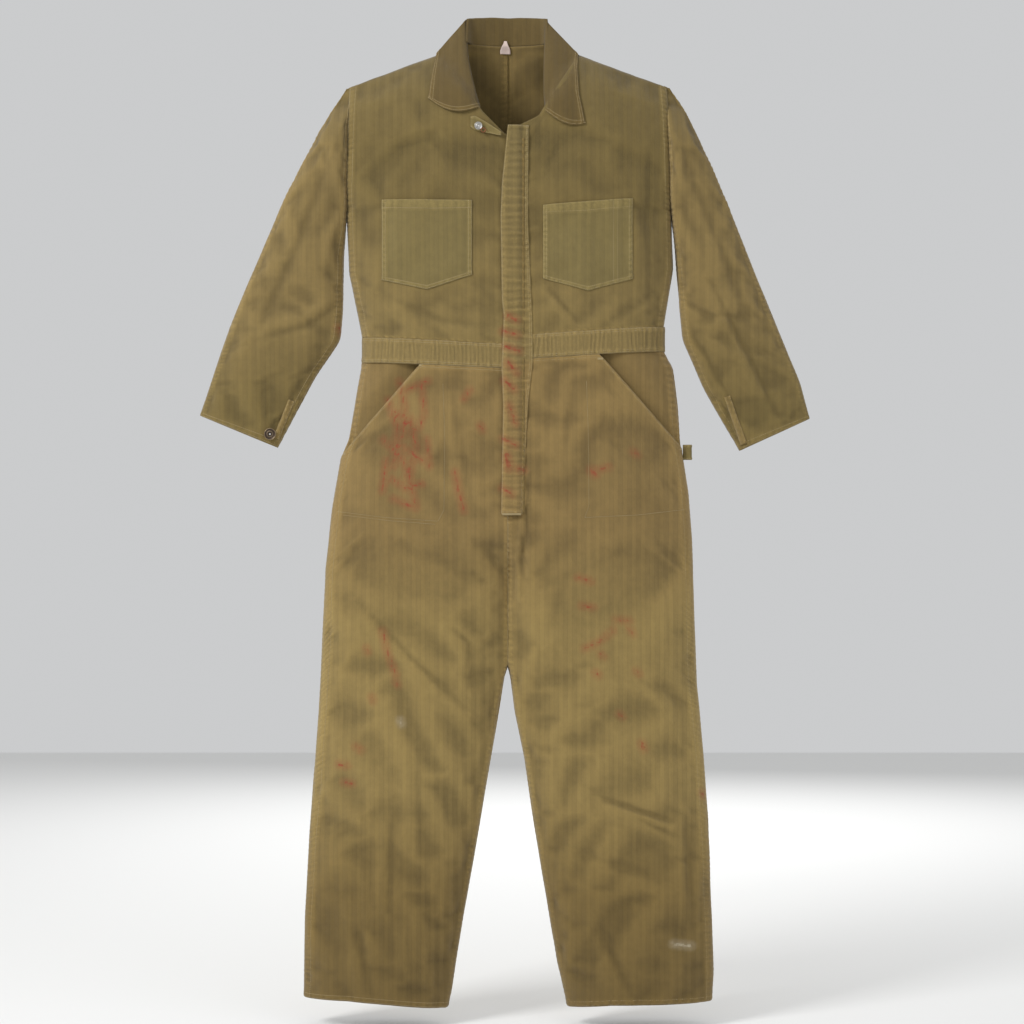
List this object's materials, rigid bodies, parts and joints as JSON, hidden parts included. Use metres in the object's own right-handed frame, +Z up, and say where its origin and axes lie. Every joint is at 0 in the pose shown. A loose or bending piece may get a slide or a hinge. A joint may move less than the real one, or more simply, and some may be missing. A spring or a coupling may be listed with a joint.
{
  "type": "work coverall",
  "caption": "One-piece herringbone work coverall hung by its neck: open collar, concealed button fly, chest and hip pockets, waistband, swinging sleeves and legs.",
  "frame": {"origin": "at the back neck seam, where the suit hangs", "axes": "+Z up along the suit, -Y out of its front, +X to the wearer's left"},
  "size_m": [1.006, 0.1164, 1.633],
  "materials": {
    "suit_cloth": "worn olive drab herringbone twill with red paint stains",
    "band_cloth": "the same twill, rubbed lighter and puckered at its seams",
    "tag_cloth": "faded woven tape",
    "bronze_button": "dark oxidised bronze with bright worn rims",
    "steel_button": "dull worn steel",
    "copper_ring": "tarnished copper"
  },
  "bodies": {
    "root": {"front_bodice_left": "suit_cloth", "front_bodice_right": "suit_cloth", "back_bodice_left": "suit_cloth", "back_bodice_right": "suit_cloth", "sleeve_cap_front_left": "suit_cloth", "sleeve_cap_front_right": "suit_cloth", "sleeve_cap_back_left": "suit_cloth", "sleeve_cap_back_right": "suit_cloth", "waistband_left": "band_cloth", "waistband_right": "band_cloth", "waistband_back": "band_cloth", "hip_front_left": "suit_cloth", "hip_front_right": "suit_cloth", "hip_back_left": "suit_cloth", "hip_back_right": "suit_cloth", "hip_pocket_left": "band_cloth", "hip_pocket_right": "band_cloth", "chest_pocket_left": "suit_cloth", "chest_pocket_right": "suit_cloth", "button_stand": "band_cloth", "buttonhole_fly": "band_cloth", "fly_foot": "band_cloth", "front_button_tack_1": "steel_button", "front_button_tack_2": "steel_button", "front_button_tack_3": "steel_button", "front_button_tack_4": "steel_button", "front_button_tack_5": "steel_button", "neck_tab": "band_cloth", "neck_button_tack": "steel_button", "neck_ring": "copper_ring", "collar_stand": "suit_cloth", "collar_fall": "suit_cloth", "neck_tag": "tag_cloth"},
    "sleeve_left": {"sleeve_front_left": "suit_cloth", "sleeve_back_left": "suit_cloth", "cuff_button_left_tack": "steel_button"},
    "sleeve_right": {"sleeve_front_right": "suit_cloth", "sleeve_back_right": "suit_cloth", "cuff_button_right_tack": "steel_button"},
    "leg_left": {"leg_front_left": "suit_cloth", "leg_back_left": "suit_cloth"},
    "leg_right": {"leg_front_right": "suit_cloth", "leg_back_right": "suit_cloth"},
    "collar_leaf_left": {"collar_leaf_left": "suit_cloth"},
    "collar_leaf_right": {"collar_leaf_right": "suit_cloth"},
    "fly_flap": {"fly_flap": "band_cloth"},
    "tool_loop": {"tool_loop": "band_cloth"},
    "front_button_1": {"front_button_head_1": "bronze_button"},
    "front_button_2": {"front_button_head_2": "bronze_button"},
    "front_button_3": {"front_button_head_3": "bronze_button"},
    "front_button_4": {"front_button_head_4": "bronze_button"},
    "front_button_5": {"front_button_head_5": "bronze_button"},
    "cuff_button_left": {"cuff_button_left_head": "bronze_button"},
    "cuff_button_right": {"cuff_button_right_head": "bronze_button"},
    "neck_button": {"neck_button_head": "steel_button"}
  },
  "joints": [
    {"name": "sleeve_swing_left", "type": "hinge", "parent": "root", "child": "sleeve_left", "pos_m": [0.329, 0, -0.331], "axis": [0, -1, 0], "range_deg": [0, 38]},
    {"name": "leg_swing_left", "type": "hinge", "parent": "root", "child": "leg_left", "pos_m": [0.1545, 0, -1], "axis": [0, -1, 0], "range_deg": [0, 14]},
    {"name": "collar_leaf_lift_left", "type": "hinge", "parent": "root", "child": "collar_leaf_left", "pos_m": [0.043, -0.0527, -0.112], "axis": [-0.1729, -0.3566, -0.9181], "range_deg": [0, 90]},
    {"name": "sleeve_swing_right", "type": "hinge", "parent": "root", "child": "sleeve_right", "pos_m": [-0.329, 0, -0.331], "axis": [0, 1, 0], "range_deg": [0, 38]},
    {"name": "leg_swing_right", "type": "hinge", "parent": "root", "child": "leg_right", "pos_m": [-0.1545, 0, -1], "axis": [0, 1, 0], "range_deg": [0, 14]},
    {"name": "collar_leaf_lift_right", "type": "hinge", "parent": "root", "child": "collar_leaf_right", "pos_m": [-0.043, -0.0527, -0.112], "axis": [-0.1729, 0.3566, 0.9181], "range_deg": [0, 90]},
    {"name": "fly_flap_open", "type": "hinge", "parent": "root", "child": "fly_flap", "pos_m": [0.04, -0.05688, -0.422], "axis": [0, 0, 1], "range_deg": [0, 150]},
    {"name": "tool_loop_swing", "type": "hinge", "parent": "root", "child": "tool_loop", "pos_m": [0.2863, 0, -0.6755], "axis": [0, 0, 1], "range_deg": [-70, 70]},
    {"name": "front_button_spin_1", "type": "hinge", "parent": "root", "child": "front_button_1", "pos_m": [0.008, -0.057, -0.215], "axis": [0, -1, 0], "continuous": true},
    {"name": "front_button_spin_2", "type": "hinge", "parent": "root", "child": "front_button_2", "pos_m": [0.008, -0.057, -0.325], "axis": [0, -1, 0], "continuous": true},
    {"name": "front_button_spin_3", "type": "hinge", "parent": "root", "child": "front_button_3", "pos_m": [0.008, -0.057, -0.435], "axis": [0, -1, 0], "continuous": true},
    {"name": "front_button_spin_4", "type": "hinge", "parent": "root", "child": "front_button_4", "pos_m": [0.008, -0.057, -0.56], "axis": [0, -1, 0], "continuous": true},
    {"name": "front_button_spin_5", "type": "hinge", "parent": "root", "child": "front_button_5", "pos_m": [0.008, -0.057, -0.665], "axis": [0, -1, 0], "continuous": true},
    {"name": "cuff_button_spin_right", "type": "hinge", "parent": "sleeve_right", "child": "cuff_button_right", "pos_m": [-0.392, -0.014, -0.645], "axis": [0, -1, 0], "continuous": true},
    {"name": "cuff_button_spin_left", "type": "hinge", "parent": "sleeve_left", "child": "cuff_button_left", "pos_m": [0.392, 0.014, -0.645], "axis": [0, 1, 0], "continuous": true},
    {"name": "neck_button_spin", "type": "hinge", "parent": "root", "child": "neck_button", "pos_m": [-0.048, -0.058, -0.146], "axis": [0, -1, 0], "continuous": true}
  ]
}
